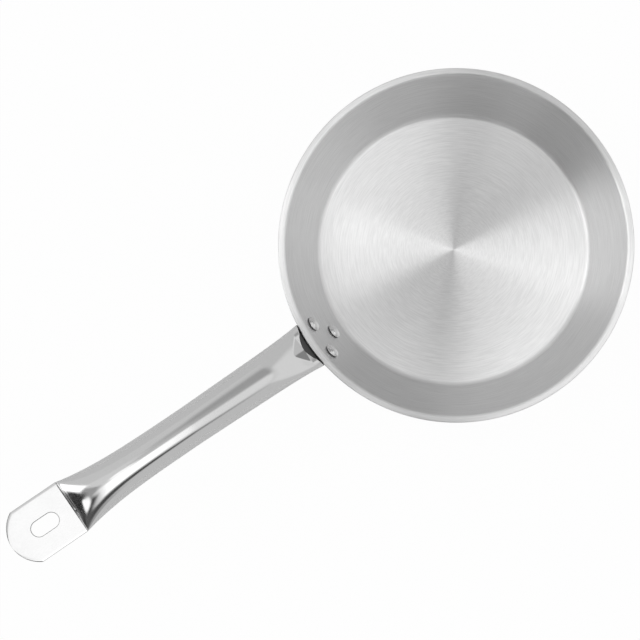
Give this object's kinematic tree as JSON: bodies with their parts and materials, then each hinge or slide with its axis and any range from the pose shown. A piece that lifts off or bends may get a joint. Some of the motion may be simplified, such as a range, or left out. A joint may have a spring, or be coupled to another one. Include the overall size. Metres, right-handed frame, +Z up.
{
  "type": "frying pan",
  "caption": "Round stainless-steel frying pan with a flared wall, turned-out pouring lip, thick closed-in base and a long hollow riveted handle ending in a flat slotted hang tab.",
  "frame": {"origin": "on the resting plane, below the centre of the pan", "axes": "+Z up out of the bowl, +X along the handle from the pan towards the hang tab, Y across the pan"},
  "size_m": [0.4716, 0.24, 0.1024],
  "materials": {
    "body_steel": "spun satin brushing in rings",
    "core_aluminium": "plain rolled",
    "cap_steel": "spun satin brushing in rings",
    "handle_steel": "polished",
    "rivet_steel": "polished"
  },
  "bodies": {
    "root": {"pan_body": "body_steel", "base_core": "core_aluminium", "base_cap": "cap_steel", "handle": "handle_steel", "rivet_upper_left": "rivet_steel", "rivet_upper_right": "rivet_steel", "rivet_lower": "rivet_steel"}
  },
  "joints": []
}
